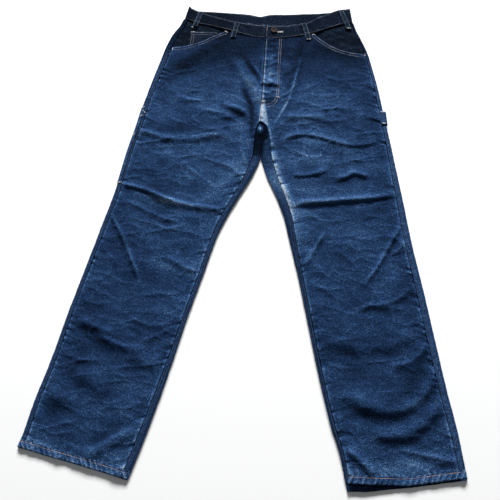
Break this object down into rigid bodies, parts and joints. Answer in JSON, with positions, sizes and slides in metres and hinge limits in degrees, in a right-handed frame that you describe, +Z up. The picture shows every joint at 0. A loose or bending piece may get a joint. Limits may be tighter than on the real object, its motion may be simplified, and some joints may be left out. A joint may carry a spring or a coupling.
{
  "type": "carpenter pants",
  "caption": "Dark indigo denim carpenter jeans lying flat on their back, with scooped front pockets, a coin pocket, a tool pocket, a hammer loop and belt loops.",
  "frame": {"origin": "on the surface the jeans lie on, under the middle of their length and width", "axes": "+Z up from the surface, +Y from the hems to the waist, +X towards the wearer's left leg"},
  "size_m": [0.908, 1.169, 0.0157],
  "materials": {
    "denim": "washed indigo twill, worn paler on the folds",
    "dark_denim": "unfaded indigo twill",
    "thread": "faded topstitching thread",
    "brown_metal": "dark oxidised tack button"
  },
  "bodies": {
    "root": {"back_panel_left": "denim", "back_panel_right": "denim", "back_pocket_left": "denim", "back_pocket_right": "denim", "belt_loop_back_1": "dark_denim", "belt_loop_back_2": "dark_denim", "belt_loop_back_3": "dark_denim", "belt_loop_front_1": "dark_denim", "belt_loop_front_2": "dark_denim", "belt_loop_front_3": "dark_denim", "belt_loop_front_4": "dark_denim", "button": "brown_metal", "coin_pocket": "dark_denim", "fly_shield": "dark_denim", "front_panel_left": "denim", "front_panel_right": "denim", "hammer_loop": "denim", "pocket_facing_left": "dark_denim", "pocket_facing_right": "dark_denim", "tool_pocket": "denim", "waistband": "dark_denim", "yoke_left": "denim", "yoke_right": "denim"}
  },
  "joints": []
}
